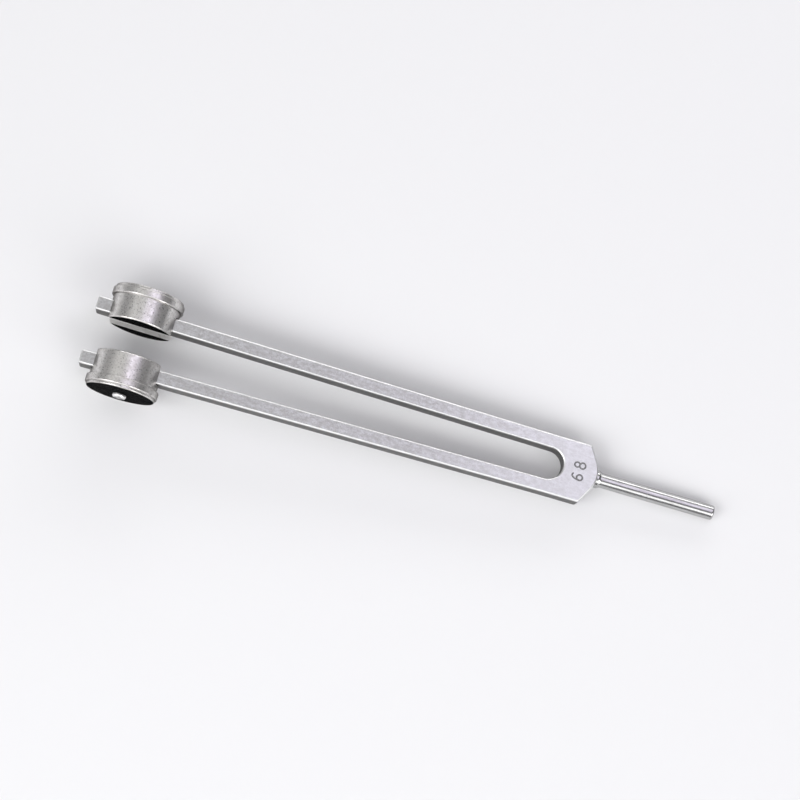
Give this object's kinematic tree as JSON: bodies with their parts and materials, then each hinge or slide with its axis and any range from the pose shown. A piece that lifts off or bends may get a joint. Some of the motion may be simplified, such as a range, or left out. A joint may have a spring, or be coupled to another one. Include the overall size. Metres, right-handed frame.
{
  "type": "tuning fork",
  "caption": "Low-pitch tuning fork: a slotted metal bar with a round stem, and a flanged drum weight screwed to the outer side of each tine near its tip.",
  "frame": {"origin": "centre of the stem's free end face", "axes": "+X along the stem from the fork out of the free end, so the tines point to -X; Y across the tines; Z through the bar's depth"},
  "size_m": [0.276, 0.0486, 0.0314],
  "materials": {
    "fork_metal": "satin, tumbled, with softened edges",
    "stem_metal": "bright turned, drawn lengthwise",
    "weight_metal": "satin, fine turned",
    "screw_metal": "bright"
  },
  "bodies": {
    "root": {"fork_body": "fork_metal", "stem": "stem_metal", "weight_a": "weight_metal", "weight_b": "weight_metal", "screw_a": "screw_metal", "screw_b": "screw_metal"}
  },
  "joints": []
}
